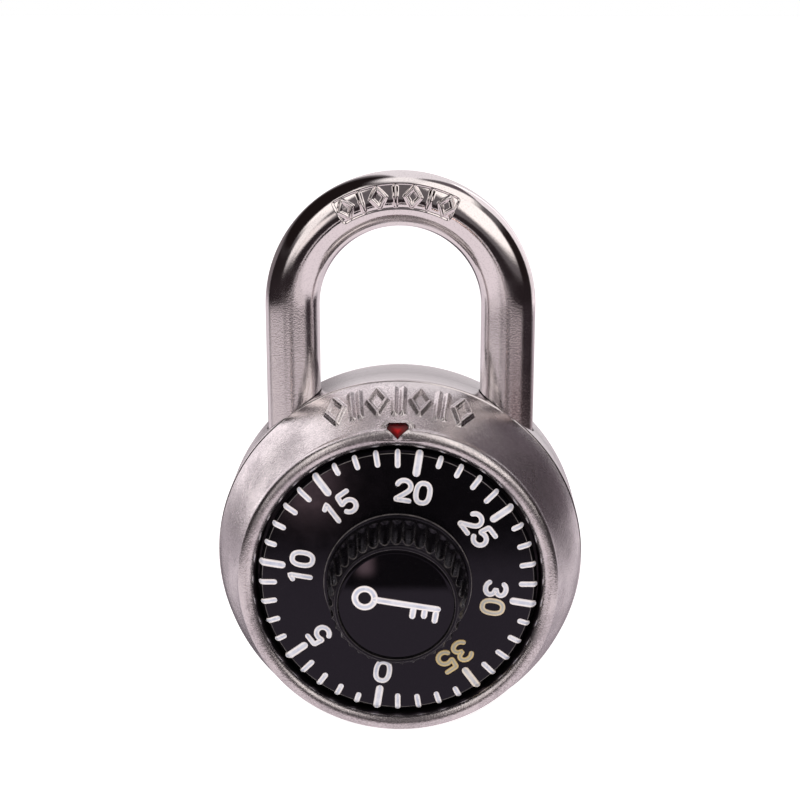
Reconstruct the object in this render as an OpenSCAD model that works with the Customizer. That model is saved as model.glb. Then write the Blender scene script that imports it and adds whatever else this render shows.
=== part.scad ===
// Combination padlock with a round steel case, a numbered dial and a steel shackle.
// Millimetres. The origin is the centre of the back face, on the dial's axis.
// +Z runs up along the shackle, and the dial faces -Y.

/* [Case] */
// Diameter of the case at its side wall
case_d = 48; // [47:0.5:50]
// Depth of the straight side wall, from the back face to the shoulder
side_depth = 9.2; // [8.8:0.1:10]
// Depth from the back face to the face of the dial
dial_depth = 18.8; // [18.6:0.1:20]
// Thickness of the outer shell's sheet
shell_t = 0.8; // [0.6:0.1:0.9]

/* [Shackle] */
// Diameter of the shackle's rod
rod_d = 7; // [6:0.1:7.1]
// Distance between the centres of the two legs
leg_span = 27.8; // [27.4:0.1:28.4]
// Height of the bow's centre above the dial's axis, with the lock closed
bow_z = 33; // [31:0.5:60]
// Travel of the shackle when it opens
lift = 11; // [9:0.5:11]

/* [Dial and knob] */
// Diameter of the dial's flat face
dial_face_d = 34.4; // [34:0.1:35]
// Diameter of the knob at its base
knob_base_d = 18.8; // [17:0.1:20]
// Height of the knob over the dial's face
knob_h = 7.2; // [6:0.1:9]
// Number of flutes round the knob
flutes = 36; // [24:1:40]

/* [Wheel pack] */
// Diameter of the three wheels
wheel_d = 20; // [19:0.1:20]
// Thickness of a wheel
wheel_t = 1.4; // [1.2:0.1:1.5]
// Width of the gate in a wheel's rim
gate_w = 2.4; // [2.3:0.1:3]

/* [Hidden] */

eps = 0.01;
slack = 0.05;       // radial play of a shaft in its hole
round_fn = 128;
small_fn = 48;

case_r = case_d / 2;
rod_r = rod_d / 2;
leg_x = leg_span / 2;
shackle_y = -5.6;   // plane of the shackle

// Outer shell, as (radius, y) of its section
rim_lip_r = 21.8;
shoulder_r = 0.8;
bead_r = 1.1;
bead_c = [19.25, 0.2 - dial_depth];
recess_r = bead_c[0] - bead_r;
floor_y = 2.5 - dial_depth;
cone_in = [20.55, 0.5 - dial_depth];
cone_out = [case_r, -side_depth];
leg_hole_r = rod_r + 0.15;

// Index boss over the dial
boss_w = 4.4;
boss_top = [21.2, 1.1 - dial_depth];
boss_foot = [19.1, -0.9 - dial_depth];

// Inner case and back cover
inner_gap = 0.1;
inner_t = 1;
plate_t = 1.2;
plate_front = floor_y + shell_t + inner_gap;
plate_rear = plate_front + plate_t;
cover_rear = -shell_t - inner_gap;
cover_front = cover_rear - 1;
plateau_r = 17.5;

// Wheel pack, front to rear
gap_y = 0.8;
drive_y = plate_rear + 0.6;
middle_y = drive_y + wheel_t + gap_y;
rear_y = middle_y + wheel_t + gap_y;
pack_end = rear_y + wheel_t;
wheel_r = wheel_d / 2;
gate_depth = 2;
post_r = 2;
spindle_r = 3.2;
spacer_r = 5.2;
lug_r = 0.8;
lug_at = 6.5;
lug_h = 0.65;
flange_y = pack_end + 1.5;

// Dial and knob
dial_rim_r = dial_face_d / 2 + 0.4;
dial_bevel = 0.5;
dial_t = 2.1;
knob_crest_r = 8.3;
knob_crest_h = knob_h - 0.95;
knob_rim_r = 7.5;
cap_r = 7.2;
flute_r = 0.72;

// Shackle
toe_z = 10.6;
heel_z = -8;
heel_pin_z = 8;
heel_pin_r = 0.6;
heel_neck_r = 2.4;
heel_pin_x = leg_x - heel_neck_r - heel_pin_r - 0.15;
notch_z0 = 14.6;
notch_z1 = 17.2;
notch_depth = 1;

// Locking lever and latch
lever_at = [-7, 15.5];
lever_pin_r = 1.2;
lever_eye_r = 2.6;
lever_y0 = rear_y - 0.7;
lever_t = 1.6;
fence_gap = 0.3;
latch_z0 = notch_z0 + 0.05;
latch_z1 = notch_z1 - 0.1;
latch_z = (latch_z0 + latch_z1) / 2;
latch_t = 2.6;
latch_x0 = 1;
latch_bore_x = 7.6;
latch_bore_r = 0.9;
latch_x1 = leg_x - rod_r + notch_depth - 0.05;
guide_x0 = -3.5;
guide_x1 = 9;
guide_wall = 1;

function arc(c, r, a0, a1, n) = [for (i = [0:n]) let (a = a0 + (a1 - a0) * i / n)
    [c[0] + r * cos(a), c[1] + r * sin(a)]];

// Turns a (radius, y) section about the dial's axis
module turned(fn = round_fn) {
    rotate([-90, 0, 0]) rotate_extrude($fn = fn) children();
}

// A section in x and z, from y0 to y1
module plate(y0, y1) {
    translate([0, y1, 0]) rotate([90, 0, 0]) linear_extrude(y1 - y0) children();
}

// A round bar or ring along y
module disc(y0, y1, r, bore = 0, fn = small_fn) {
    plate(y0, y1) difference() {
        circle(r, $fn = fn);
        if (bore > 0) circle(bore, $fn = fn);
    }
}

// A round wire swept along points, as one closed solid
module wire(path, r, sides = 8) {
    n = len(path);
    function unit(v) = v / norm(v);
    function along(i) = unit(path[min(i + 1, n - 1)] - path[max(i - 1, 0)]);
    function side(i) = unit(cross(along(i), wire_up(along(i))));
    rings = [for (i = [0:n - 1]) let (t = along(i), u = side(i), v = cross(t, u))
        for (k = [0:sides - 1]) let (a = 360 * k / sides)
            path[i] + r * (cos(a) * u + sin(a) * v)];
    walls = [for (i = [0:n - 2], k = [0:sides - 1]) let (m = (k + 1) % sides)
        [i * sides + k, (i + 1) * sides + k, (i + 1) * sides + m, i * sides + m]];
    start = [for (k = [0:sides - 1]) k];
    end = [for (k = [sides - 1:-1:0]) (n - 1) * sides + k];
    polyhedron(points = rings, faces = concat(walls, [start, end]), convexity = 6);
}

// A direction that is never along t, so that a wire's rings keep their twist
function wire_up(t) = abs(t[1]) > 0.9 ? [1, 0, 0] : [0, 1, 0];

// Points of a coil round the line through c along the axis named by dir
function coil(c, dir, r, length, turns, step = 20) =
    [for (i = [0:turns * 360 / step]) let (a = i * step, s = length * i * step / (turns * 360))
        dir == "x" ? [c[0] + s, c[1] + r * cos(a), c[2] + r * sin(a)]
                   : [c[0] + r * cos(a), c[1] + s, c[2] + r * sin(a)]];

module leg_holes(r) {
    for (s = [-1, 1]) translate([s * leg_x, shackle_y, toe_z - 4])
        cylinder(h = case_d, r = r, $fn = small_fn);
}

module shell_section() {
    inner_cone = [cone_in[0] - 0.6, cone_in[1] + 0.3];
    polygon(concat(
        [[rim_lip_r, -shell_t], [rim_lip_r, -0.2], [rim_lip_r + 0.2, 0]],
        arc([case_r - shoulder_r, -shoulder_r], shoulder_r, 90, 0, 6),
        [[case_r, -side_depth + 0.3], [case_r - 0.1, -side_depth - 0.3], cone_in],
        arc(bead_c, bead_r, 0, -180, 18),
        [[recess_r, floor_y], [spindle_r + 0.4, floor_y], [spindle_r + 0.4, floor_y + shell_t],
         [recess_r + shell_t, floor_y + shell_t], [recess_r + shell_t, inner_cone[1]],
         inner_cone, [case_r - shell_t, -side_depth], [case_r - shell_t, -shell_t]]));
}

module index_pocket(depth) {
    slope = atan2(boss_top[1] - boss_foot[1], boss_top[0] - boss_foot[0]);
    translate([0, boss_foot[1], boss_foot[0]]) rotate([90 - slope, 0, 0])
        translate([0, 0.05, -depth]) linear_extrude(depth + 0.2)
            polygon([[0, 0], [1.45, 1.4], [1.4, 1.85], [0.95, 2.2],
                     [-0.95, 2.2], [-1.4, 1.85], [-1.45, 1.4]]);
}

module index_boss() {
    rotate([90, 0, 90]) translate([0, 0, -boss_w / 2]) linear_extrude(boss_w)
        polygon([[boss_foot[1], boss_foot[0]], [boss_top[1], boss_top[0]],
                 [boss_top[1] + 1.3, boss_top[0] + 0.2], [boss_top[1] + 0.8, boss_top[0] - 0.6],
                 [boss_foot[1] + 0.9, boss_foot[0] - 0.1]]);
}

module outer_shell() {
    color("silver") difference() {
        union() {
            turned() shell_section();
            index_boss();
        }
        leg_holes(leg_hole_r);
        index_pocket(0.5);
    }
}

module index_marker() {
    color("firebrick") intersection() {
        index_pocket(0.5);
        rotate([90, 0, 90]) translate([0, 0, -2]) linear_extrude(4)
            polygon([[boss_foot[1] + 0.06, boss_foot[0]], [boss_top[1] + 0.06, boss_top[0]],
                     [boss_top[1] + 3, boss_top[0]], [boss_foot[1] + 3, boss_foot[0]]]);
    }
}

module inner_case() {
    slope = (cone_out[0] - cone_in[0]) / (cone_out[1] - cone_in[1]);
    front_r = case_r - shell_t - slope * (-side_depth - plate_front) - 0.35;
    color("gray") difference() {
        turned() polygon([
            [spindle_r + inner_gap, plate_front], [front_r - 0.2, plate_front],
            [front_r, plate_front + 0.2], [case_r - shell_t - inner_gap, -side_depth],
            [case_r - shell_t - inner_gap, cover_front],
            [case_r - shell_t - inner_gap - inner_t, cover_front],
            [case_r - shell_t - inner_gap - inner_t, -side_depth],
            [front_r - inner_t, plate_rear], [spindle_r + inner_gap, plate_rear]]);
        leg_holes(leg_hole_r);
    }
}

module back_cover() {
    edge_r = case_r - shell_t - inner_gap;
    color("lightgray") turned() polygon([
        [0, cover_front], [edge_r, cover_front], [edge_r, cover_rear], [plateau_r + 0.4, cover_rear],
        [plateau_r, -0.1], [plateau_r - 0.15, 0], [0, 0]]);
}

module center_post() {
    color("silver") turned(small_fn) polygon([
        [0, -15], [post_r - 0.3, -15], [post_r, -14.7], [post_r, flange_y],
        [3.6, flange_y], [3.6, cover_front], [0, cover_front]]);
}

module thrust_washer() {
    color("goldenrod") disc(plate_rear + slack, drive_y - slack, 6.5, spindle_r + inner_gap);
}

module front_spacer() {
    color("goldenrod") disc(drive_y + wheel_t + slack, middle_y - slack, spacer_r, post_r + slack);
}

module rear_spacer() {
    color("goldenrod") disc(middle_y + wheel_t + slack, rear_y - slack, spacer_r, post_r + slack);
}

module wave_spring() {
    t = 0.3;
    y0 = pack_end + slack;
    y1 = flange_y - 0.65;
    color("dimgray") turned(small_fn) polygon([
        [post_r + 0.2, y0], [post_r + 0.6, y0], [spacer_r, y1 - t],
        [spacer_r, y1], [spacer_r - 0.3, y1], [post_r + 0.2, y0 + t]]);
}

module end_washer() {
    color("goldenrod") disc(flange_y - 0.6, flange_y, spacer_r, post_r + slack);
}

module lever_pin() {
    color("silver") translate([lever_at[0], 0, lever_at[1]])
        disc(plate_rear, cover_front, lever_pin_r);
}

module heel_pin() {
    color("silver") translate([-heel_pin_x, 0, heel_pin_z])
        disc(plate_rear, cover_front, heel_pin_r, fn = 32);
}

// Channel on the back cover that the latch slides in
module latch_guide() {
    y0 = shackle_y - latch_t / 2;
    y1 = shackle_y + latch_t / 2;
    h = latch_z1 - latch_z0;
    color("darkgray") difference() {
        translate([guide_x0, y0 - guide_wall, latch_z0 - guide_wall])
            cube([guide_x1 - guide_x0, cover_front - y0 + guide_wall, h + 2 * guide_wall]);
        translate([guide_x0 + guide_wall, y0 - slack, latch_z0 - slack])
            cube([case_d, latch_t + 2 * slack, h + 2 * slack]);
        translate([guide_x0 + guide_wall, y1 + guide_wall, latch_z0])
            cube([guide_x1 - guide_x0 - 2 * guide_wall, case_d, h]);
    }
}

module latch_bolt() {
    color("gold") difference() {
        plate(shackle_y - latch_t / 2, shackle_y + latch_t / 2)
            polygon([[latch_x0, latch_z0], [latch_x1, latch_z0], [latch_x1, latch_z1 - 0.8],
                     [latch_x1 - 0.8, latch_z1], [latch_x0, latch_z1]]);
        translate([latch_x0 - 1, shackle_y, latch_z]) rotate([0, 90, 0])
            cylinder(h = latch_bore_x - latch_x0 + 1, r = latch_bore_r, $fn = small_fn);
    }
}

// The spring in the latch's bore, at its length with the latch pushed back
module latch_spring() {
    x0 = guide_x0 + guide_wall;
    wire_r = 0.15;
    color("dimgray") wire(coil([x0 + wire_r + eps, shackle_y, latch_z],
        "x", 0.65, latch_bore_x - 3 - x0 - 2 * wire_r, 9, 24), wire_r, 6);
}

// Hairpin spring round the lever's pin, with its two arms
module lever_spring() {
    r = 1.75;
    wire_r = 0.2;
    y0 = lever_y0 + lever_t + wire_r + 0.15;
    length = 1.4;
    c = [lever_at[0], y0, lever_at[1]];
    turns = coil(c, "y", r, length, 3);
    arm_in = [[c[0] + r, y0, c[2] - 2.2], [c[0] + r, y0, c[2] - 1.1]];
    arm_out = [[c[0] + r, y0 + length, c[2] + 1.2], [c[0] + r, y0 + length, c[2] + 2.6]];
    color("dimgray") wire(concat(arm_in, turns, arm_out), wire_r);
}

module locking_lever() {
    y1 = lever_y0 + lever_t;
    arm_end = 7.4;
    fence_z = wheel_r + fence_gap;
    color("gold") difference() {
        union() {
            plate(lever_y0, y1) union() {
                translate(lever_at) circle(lever_eye_r, $fn = small_fn);
                polygon([[lever_at[0], lever_at[1] - 2], [-1, fence_z], [1, fence_z],
                         [arm_end, lever_at[1] - 2.2], [arm_end, lever_at[1] + 0.9],
                         [lever_at[0], lever_at[1] + 2]]);
            }
            plate(drive_y - 0.1, pack_end - 0.1) polygon([
                [-1, fence_z], [1, fence_z], [1, fence_z + 2.4], [-1, fence_z + 2.4]]);
        }
        translate([lever_at[0], 0, lever_at[1]])
            disc(lever_y0 - 1, y1 + 1, lever_pin_r + slack);
    }
}

// A wheel with its gate at the top, from y0 rearwards
module wheel(y0, bore, notches = 0) {
    plate(y0, y0 + wheel_t) difference() {
        circle(wheel_r, $fn = round_fn);
        circle(bore, $fn = small_fn);
        translate([-gate_w / 2, wheel_r - gate_depth]) square([gate_w, gate_depth + 1]);
        for (i = [1:1:notches - 1]) rotate(360 * i / notches)
            translate([-gate_w / 2, wheel_r - 0.5]) square([gate_w, 2]);
    }
}

// A stamped lug that picks up the next wheel: side is 1 at the top, -1 at the bottom
module lug(y0, y1, side) {
    translate([0, 0, side * lug_at]) disc(y0, y1, lug_r, fn = 32);
}

module drive_wheel() {
    color("darkgoldenrod") union() {
        wheel(drive_y, spindle_r, 12);
        lug(drive_y + wheel_t / 2, drive_y + wheel_t + lug_h, -1);
    }
}

module middle_wheel() {
    color("darkgoldenrod") union() {
        wheel(middle_y, post_r + slack);
        lug(middle_y - lug_h, middle_y + wheel_t / 2, 1);
        lug(middle_y + wheel_t / 2, middle_y + wheel_t + lug_h, -1);
    }
}

module rear_wheel() {
    color("darkgoldenrod") union() {
        wheel(rear_y, post_r + slack);
        lug(rear_y - lug_h, rear_y + wheel_t / 2, 1);
    }
}

module spindle() {
    front = -dial_depth + 0.9;
    color("silver") difference() {
        disc(front, drive_y + wheel_t, spindle_r);
        disc(-15.4, drive_y + wheel_t + 1, post_r + slack);
    }
}

module dial_plate() {
    front = -dial_depth;
    rear = front + dial_t;
    color("black") difference() {
        turned() polygon([[0, front], [dial_face_d / 2, front], [dial_rim_r, front + dial_bevel],
                          [dial_rim_r, rear], [0, rear]]);
        disc(front + 0.9, rear + 1, spindle_r);
    }
}

module knob() {
    front = -dial_depth;
    base_r = knob_base_d / 2;
    taper = atan2(base_r - 0.45 - knob_crest_r, knob_crest_h);
    color("black") difference() {
        turned() polygon([[0, front], [base_r, front], [base_r, front - 0.35],
                          [base_r - 0.45, front - 0.5], [knob_crest_r, front - knob_crest_h],
                          [knob_rim_r, front - knob_h], [cap_r, front - knob_h],
                          [cap_r, front - knob_h + 0.6], [0, front - knob_h + 0.6]]);
        for (i = [0:flutes - 1]) rotate([0, 360 * i / flutes, 0])
            translate([0, front - 0.6, base_r - 0.1]) rotate([90 + taper, 0, 0])
                cylinder(h = knob_h, r = flute_r, $fn = 24);
    }
}

module knob_cap() {
    y1 = -dial_depth - knob_h + 0.6;
    color("black") turned() polygon([[0, y1 - 0.45], [cap_r - 0.2, y1 - 0.45],
        [cap_r - 0.02, y1 - 0.3], [cap_r - 0.02, y1], [0, y1]]);
}

// Heel leg: full rod, then the neck that its pin rides in, then the foot
module heel_leg() {
    neck_top = heel_pin_z + heel_pin_r + 0.3;
    neck_foot = heel_pin_z - heel_pin_r - lift - 0.3;
    rotate_extrude($fn = small_fn) polygon([
        [0, heel_z], [rod_r - 0.8, heel_z], [rod_r, heel_z + 0.8], [rod_r, neck_foot - 0.6],
        [heel_neck_r, neck_foot], [heel_neck_r, neck_top], [rod_r, neck_top + 0.6],
        [rod_r, bow_z], [0, bow_z]]);
}

module toe_leg() {
    rotate_extrude($fn = small_fn) polygon([
        [0, toe_z], [rod_r - 1, toe_z], [rod_r, toe_z + 1], [rod_r, bow_z], [0, bow_z]]);
}

// The latch's notch on the inner side of the toe, with a long ramp down to the tip
module toe_notch() {
    x0 = leg_x - rod_r;
    plate(shackle_y - rod_r - 1, shackle_y + rod_r + 1) polygon([
        [x0 - 1, toe_z - 1], [x0 - 0.25, toe_z - 1], [x0 + notch_depth, notch_z0],
        [x0 + notch_depth, notch_z1], [x0, notch_z1 + 0.4], [x0 - 1, notch_z1 + 0.4]]);
}

module shackle() {
    color("silver") difference() {
        union() {
            translate([-leg_x, shackle_y, 0]) heel_leg();
            translate([leg_x, shackle_y, 0]) toe_leg();
            translate([0, shackle_y, bow_z]) rotate([90, 0, 0])
                rotate_extrude(angle = 180, $fn = round_fn)
                    translate([leg_x, 0]) circle(rod_r, $fn = small_fn);
        }
        toe_notch();
    }
}

outer_shell();
inner_case();
back_cover();
index_marker();
center_post();
thrust_washer();
front_spacer();
rear_spacer();
wave_spring();
end_washer();
lever_pin();
heel_pin();
latch_guide();
lever_spring();
latch_spring();
dial_plate();
knob();
knob_cap();
spindle();
drive_wheel();
middle_wheel();
rear_wheel();
shackle();
locking_lever();
latch_bolt();
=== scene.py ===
"""Looks of the combination padlock: steel case, numbered dial, fluted knob and bright shackle.

Shapes are worked out in millimetres, in the part's own frame, and turned to metres in add_mesh.
The dial faces -Y, and angles round the dial run clockwise from the top, as its numbers do.
"""
import math

import bmesh
import bpy
import numpy as np
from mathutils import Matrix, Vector


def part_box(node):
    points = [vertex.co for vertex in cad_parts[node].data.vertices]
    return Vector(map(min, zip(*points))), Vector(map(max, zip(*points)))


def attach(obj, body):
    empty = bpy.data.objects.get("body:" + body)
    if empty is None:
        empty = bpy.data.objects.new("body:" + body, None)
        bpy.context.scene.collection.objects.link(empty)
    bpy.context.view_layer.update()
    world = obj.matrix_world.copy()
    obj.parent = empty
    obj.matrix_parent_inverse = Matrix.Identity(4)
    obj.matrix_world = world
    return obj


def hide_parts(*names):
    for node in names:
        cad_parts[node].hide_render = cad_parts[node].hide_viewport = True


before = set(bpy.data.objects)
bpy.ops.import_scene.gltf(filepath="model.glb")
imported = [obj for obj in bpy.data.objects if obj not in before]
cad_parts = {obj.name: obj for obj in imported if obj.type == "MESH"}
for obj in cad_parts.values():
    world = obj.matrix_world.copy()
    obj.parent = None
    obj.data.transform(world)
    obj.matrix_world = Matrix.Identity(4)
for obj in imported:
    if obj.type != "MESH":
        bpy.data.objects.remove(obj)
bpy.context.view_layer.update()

MM = 0.001


def box_mm(node):
    """A node's lowest and highest corners at rest, in millimetres."""
    low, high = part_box(node)
    return np.array(low) / MM, np.array(high) / MM


# ------------------------ sizes, from the frame
case_low, case_high = box_mm("outer_shell")
dial_low, dial_high = box_mm("dial_plate")
knob_low, knob_high = box_mm("knob")
rod_low, rod_high = box_mm("shackle")

CASE_R = case_high[0]
FACE_Y = dial_low[1]                        # the plane that the numbers are on
DIAL_BACK_Y = dial_high[1]
DIAL_R = dial_high[0]
DIAL_BEVEL = 0.4
FLAT_R = DIAL_R - DIAL_BEVEL
KNOB_Y = knob_low[1]
KNOB_R = knob_high[0]
ROD_R = (rod_high[1] - rod_low[1]) / 2
ROD_Y = (rod_high[1] + rod_low[1]) / 2
LEG_X = rod_high[0] - ROD_R
BOW_Z = rod_high[2] - ROD_R - LEG_X
HEEL_Z = rod_low[2]

SHOULDER_Y = -9.2
VALLEY = (20.28, FACE_Y + 0.6)              # (radius, y) where the collar meets the cone
BEAD = (19.25, FACE_Y + 0.2)
BEAD_R = 1.1
FLOOR_Y = FACE_Y + 2.5
SHEET = 0.8

BOSS_FOOT = np.array([FACE_Y - 0.9, 19.1])  # (y, z) of the index boss's face
BOSS_TOP = np.array([FACE_Y + 1.1, 21.2])
BOSS_ALONG = (BOSS_TOP - BOSS_FOOT) / np.linalg.norm(BOSS_TOP - BOSS_FOOT)
BOSS_OUT = np.array([-BOSS_ALONG[1], BOSS_ALONG[0]])
BOSS_HEIGHT = np.linalg.norm(BOSS_TOP - BOSS_FOOT) + 0.05
BOSS_CORNER = 0.7
POCKET = [(0, 0.05), (1.4, 1.4), (1.42, 2.05), (1.05, 2.42), (-1.05, 2.42), (-1.42, 2.05), (-1.4, 1.4)]

INDEX_AT = 19                               # the number that stands at the marker
STEPS = 40
STEP_DEG = 360 / STEPS


# ------------------------ mesh helpers
def add_mesh(name, verts, faces, sharp_deg=38, uvs=None):
    """A smooth-shaded mesh object from points in millimetres. uvs holds one pair per point."""
    mesh = bpy.data.meshes.new(name)
    mesh.from_pydata((np.asarray(verts, float) * MM).tolist(), [], [list(map(int, f)) for f in faces])
    if uvs is not None:
        layer = mesh.uv_layers.new(name="UVMap")
        corner = np.empty(len(mesh.loops), dtype=np.int32)
        mesh.loops.foreach_get("vertex_index", corner)
        layer.data.foreach_set("uv", np.asarray(uvs, float)[corner].ravel())
    finish_mesh(mesh, sharp_deg)
    obj = bpy.data.objects.new(name, mesh)
    bpy.context.scene.collection.objects.link(obj)
    return obj


def finish_mesh(mesh, sharp_deg):
    """Turns the faces outwards and shades them smooth up to an angle."""
    work = bmesh.new()
    work.from_mesh(mesh)
    bmesh.ops.recalc_face_normals(work, faces=work.faces)
    work.to_mesh(mesh)
    work.free()
    mesh.polygons.foreach_set("use_smooth", [True] * len(mesh.polygons))
    mesh.set_sharp_from_angle(angle=math.radians(sharp_deg))


def grid_faces(rows, cols, close_rows=False, close_cols=False):
    """Quads over a grid of points, row by row."""
    i = np.arange(rows if close_rows else rows - 1)
    j = np.arange(cols if close_cols else cols - 1)
    i, j = [g.ravel() for g in np.meshgrid(i, j, indexing="ij")]
    i2, j2 = (i + 1) % rows, (j + 1) % cols
    return np.stack([i * cols + j, i * cols + j2, i2 * cols + j2, i2 * cols + j], 1)


def turned_points(profile, angles):
    """The grid of points that a (radius, y) outline makes about the dial's axis."""
    r, y = np.asarray(profile, float).T
    a = np.asarray(angles)[:, None]
    return np.stack([r * np.sin(a), np.broadcast_to(y, (len(angles), len(y))), r * np.cos(a)], -1)


def turned(name, profile, steps=256, sharp_deg=38, worn=()):
    """A turned piece, from an outline that starts and ends on the axis.

    worn holds (radius, y, wear) for the edges whose UV says how greyed they are, partly as wear and partly
    as painted highlight.
    """
    angles = np.linspace(0, 2 * math.pi, steps, endpoint=False)
    grid = turned_points(profile[1:-1], angles)
    cols = len(profile) - 2
    faces = [list(f) for f in grid_faces(steps, cols, True)]
    verts = list(grid.reshape(-1, 3)) + [(0, profile[0][1], 0), (0, profile[-1][1], 0)]
    first, last = steps * cols, steps * cols + 1
    for i in range(steps):
        k = (i + 1) % steps
        faces += [[first, i * cols, k * cols], [last, k * cols + cols - 1, i * cols + cols - 1]]
    painted_light_and_wear = [edge_wear(r, y, worn) for r, y in profile[1:-1]] * steps + [0, 0]
    return add_mesh(name, verts, faces, sharp_deg, [(wear, 0) for wear in painted_light_and_wear])


def edge_wear(radius, y, worn):
    """How greyed a point of an outline is, as wear and as painted highlight, from 0 to 1."""
    near = [wear for r, at, wear in worn if math.dist((radius, y), (r, at)) < 0.06]
    return max(near, default=0.0)


def arc(centre, radius, start, end, steps):
    """Points of an arc in a plane, with angles in degrees. radius is a number or a pair."""
    rx, ry = radius if isinstance(radius, tuple) else (radius, radius)
    t = np.radians(np.linspace(start, end, steps + 1))
    return [(centre[0] + rx * math.cos(a), centre[1] + ry * math.sin(a)) for a in t]


def line(a, b, steps):
    """Points from a towards b, without b."""
    return [tuple(np.array(a) + (np.array(b) - np.array(a)) * i / steps) for i in range(steps)]


def smooth_step(low, high, x):
    """0 below low, 1 above high, and smooth between."""
    t = np.clip((x - low) / (high - low), 0, 1)
    return t * t * (3 - 2 * t)


def segment_distance(x, y, a, b):
    """Distance from points to a segment in a plane."""
    ax, ay, bx, by = *a, *b
    t = np.clip(((x - ax) * (bx - ax) + (y - ay) * (by - ay)) / ((bx - ax) ** 2 + (by - ay) ** 2), 0, 1)
    return np.hypot(x - ax - t * (bx - ax), y - ay - t * (by - ay))


def polyline_distance(x, y, points):
    """Distance from points to the nearest segment of a polyline."""
    return np.min([segment_distance(x, y, a, b) for a, b in zip(points, points[1:])], axis=0)


def ridge(distance, half_width):
    """The height, from 0 to 1, of a rounded ridge at a distance from its middle line."""
    return 0.5 + 0.5 * np.cos(math.pi * np.clip(distance / half_width, 0, 1))


def cut(obj, tool, sharp_deg=38):
    """Cuts a tool's solid out of a piece and removes the tool."""
    mod = obj.modifiers.new("cut", "BOOLEAN")
    mod.operation = "DIFFERENCE"
    mod.solver = "EXACT"
    mod.object = tool
    bpy.context.view_layer.update()
    mesh = bpy.data.meshes.new_from_object(obj.evaluated_get(bpy.context.evaluated_depsgraph_get()))
    if not mesh.polygons:
        raise RuntimeError("the cut left nothing of " + obj.name)
    obj.modifiers.clear()
    obj.data = mesh
    mesh.polygons.foreach_set("use_smooth", [True] * len(mesh.polygons))
    mesh.set_sharp_from_angle(angle=math.radians(sharp_deg))
    bpy.data.objects.remove(tool)


def prism(name, outline, place, low, high):
    """A prism on an outline; place(u, v, w) gives the point, with w running from low to high."""
    n = len(outline)
    verts = [place(u, v, w) for w in (low, high) for u, v in outline]
    faces = [list(range(n)), list(range(2 * n - 1, n - 1, -1))]
    faces += [[i, (i + 1) % n, n + (i + 1) % n, n + i] for i in range(n)]
    return add_mesh(name, verts, faces, 10)


def rod_tool(name, x, y, radius, z0, z1, steps=96):
    """A round bar along Z, to cut a hole with."""
    outline = arc((x, y), radius, 0, 360, steps)[:-1]
    return prism(name, outline, lambda u, v, w: (u, v, w), z0, z1)


# ------------------------ materials
def material(name, colour, metallic=0.0, roughness=0.4, **sockets):
    """A material and its shader, with plain values on the shader's own sockets."""
    mat = bpy.data.materials.new(name)
    mat.use_nodes = True
    shader = mat.node_tree.nodes["Principled BSDF"]
    shader.inputs["Base Color"].default_value = (*colour, 1)
    shader.inputs["Metallic"].default_value = metallic
    shader.inputs["Roughness"].default_value = roughness
    for key, value in sockets.items():
        shader.inputs[key.replace("_", " ")].default_value = value
    return mat, shader


def node(mat, kind, inputs=(), **settings):
    """Adds a node; inputs maps a socket's name or number to a value or another node's output."""
    made = mat.node_tree.nodes.new(kind)
    for key, value in settings.items():
        setattr(made, key, value)
    for key, value in dict(inputs).items():
        if isinstance(value, bpy.types.NodeSocket):
            mat.node_tree.links.new(value, made.inputs[key])
        else:
            made.inputs[key].default_value = value
    return made


def link(mat, output, socket):
    mat.node_tree.links.new(output, socket)


def ramp(mat, fac, stops):
    """A colour ramp; stops are (position, grey or colour)."""
    made = node(mat, "ShaderNodeValToRGB", {"Fac": fac})
    elements = made.color_ramp.elements
    while len(elements) < len(stops):
        elements.new(0.5)
    for element, (at, colour) in zip(elements, stops):
        element.position = at
        element.color = (colour, colour, colour, 1) if isinstance(colour, (int, float)) else (*colour, 1)
    return made.outputs["Color"]


def noise(mat, scale, detail=3, roughness=0.55, stretch=None):
    """Noise over the object's own coordinates; scale is in features per metre."""
    place = node(mat, "ShaderNodeTexCoord").outputs["Object"]
    if stretch:
        place = node(mat, "ShaderNodeMapping", {"Vector": place, "Scale": stretch}).outputs["Vector"]
    made = node(mat, "ShaderNodeTexNoise",
                {"Vector": place, "Scale": scale, "Detail": detail, "Roughness": roughness})
    return made.outputs["Fac"]


def place_parts(mat, kind="Object"):
    """A node whose outputs X, Y and Z are a point's own coordinates, in metres, or its UV."""
    return node(mat, "ShaderNodeSeparateXYZ", {0: node(mat, "ShaderNodeTexCoord").outputs[kind]})


def maths(mat, operation, *values):
    """The result of a maths node."""
    return node(mat, "ShaderNodeMath", dict(enumerate(values)), operation=operation).outputs[0]


def mixed(mat, fac, a, b, blend="MIX"):
    """Colour a mixed towards colour b by fac."""
    made = node(mat, "ShaderNodeMix", {0: fac}, data_type="RGBA", blend_type=blend)
    for index, value in ((6, a), (7, b)):
        if isinstance(value, bpy.types.NodeSocket):
            link(mat, value, made.inputs[index])
        else:
            made.inputs[index].default_value = (*value, 1)
    return made.outputs[2]


def bumped(mat, shader, height, strength, distance):
    """Bump from a height, with the distance in metres."""
    made = node(mat, "ShaderNodeBump", {"Height": height, "Strength": strength, "Distance": distance})
    link(mat, made.outputs["Normal"], shader.inputs["Normal"])


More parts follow.
